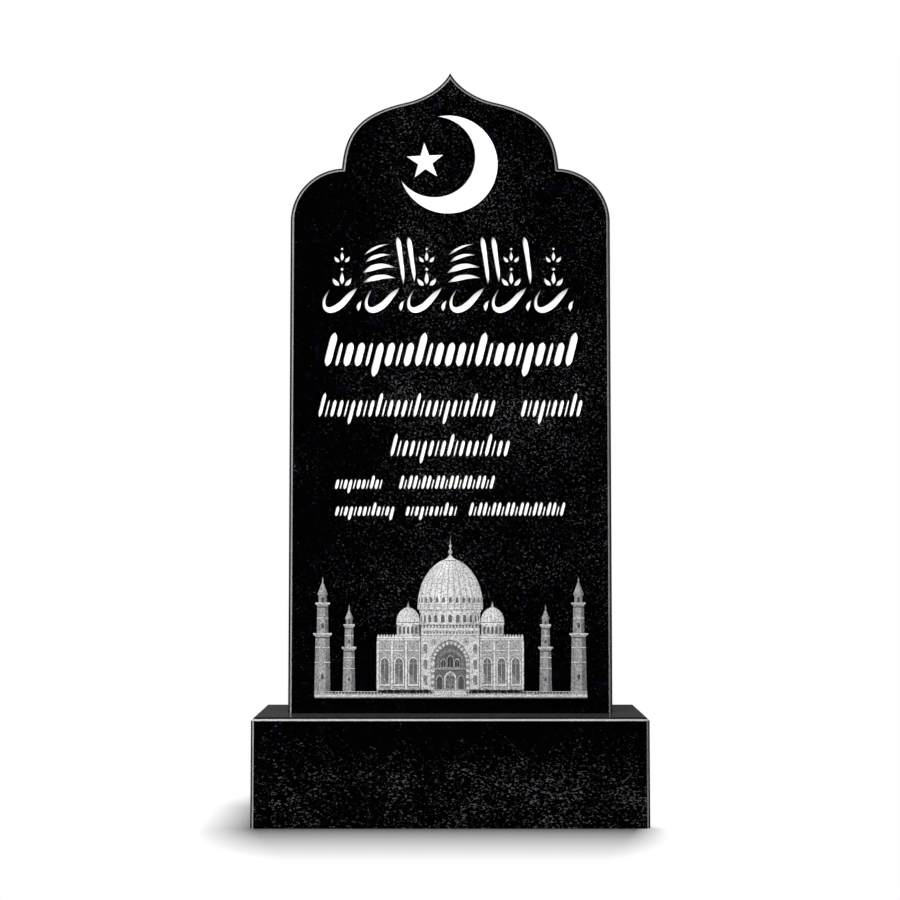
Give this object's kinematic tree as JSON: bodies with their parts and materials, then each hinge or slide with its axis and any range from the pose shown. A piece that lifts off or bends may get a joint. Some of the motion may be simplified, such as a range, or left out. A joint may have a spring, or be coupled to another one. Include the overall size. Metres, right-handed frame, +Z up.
{
  "type": "headstone",
  "caption": "Upright arched headstone slab with an ogee crown, round shoulders, a carved crescent and star and rows of carved strokes, on a plain rectangular base block",
  "frame": {"origin": "middle of the underside of the base block", "axes": "+Z up; the carved front faces -Y; +X to the right as seen from the front"},
  "size_m": [0.6, 0.2, 1.1653],
  "materials": {
    "base_granite": "polished",
    "stele_granite": "polished"
  },
  "bodies": {
    "root": {"base": "base_granite", "stele": "stele_granite"}
  },
  "joints": []
}
